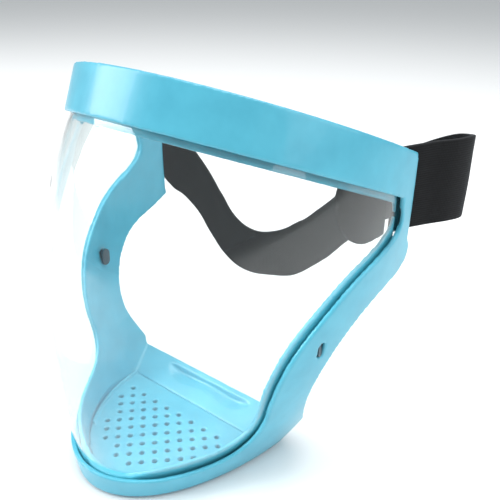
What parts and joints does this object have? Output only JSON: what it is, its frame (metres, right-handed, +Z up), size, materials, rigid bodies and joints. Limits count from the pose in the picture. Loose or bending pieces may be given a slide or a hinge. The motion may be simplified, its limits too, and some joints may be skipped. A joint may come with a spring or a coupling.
{
  "type": "full face shield",
  "caption": "Moulded face shield with a clear wrap-round visor in a two-shell frame, a perforated chin cup and a wide elastic head strap that adjusts at one temple.",
  "frame": {"origin": "middle of the flat underside of the vented chin plate, where the shield stands", "axes": "X across the face with +X to the wearer's left, -Y the way the face looks, +Z up"},
  "size_m": [0.1889, 0.1803, 0.1909],
  "materials": {
    "frame_plastic": "satin moulded",
    "clip_plastic": "moulded",
    "clear_sheet": "clear polished",
    "strap_fabric": "knit laminate",
    "hook_loop": "hook and loop"
  },
  "bodies": {
    "root": {"rear_frame": "frame_plastic", "front_bezel": "frame_plastic", "visor": "clear_sheet", "vent_plate": "frame_plastic", "clip_left": "clip_plastic", "clip_right": "clip_plastic", "strap_end_left": "strap_fabric", "strap_end_right": "strap_fabric", "loop_pad": "hook_loop"},
    "strap": {"head_strap": "strap_fabric"},
    "tab": {"strap_tab": "strap_fabric", "hook_pad": "hook_loop"}
  },
  "joints": [
    {"name": "strap_swing", "type": "hinge", "parent": "root", "child": "strap", "pos_m": [0, 0.071, 0.131], "axis": [1, 0, 0], "range_deg": [-10, 35]},
    {"name": "tab_peel", "type": "hinge", "parent": "root", "child": "tab", "pos_m": [0.0779, 0.0572, 0.134], "axis": [0, 0, -1], "range_deg": [0, 60]}
  ]
}
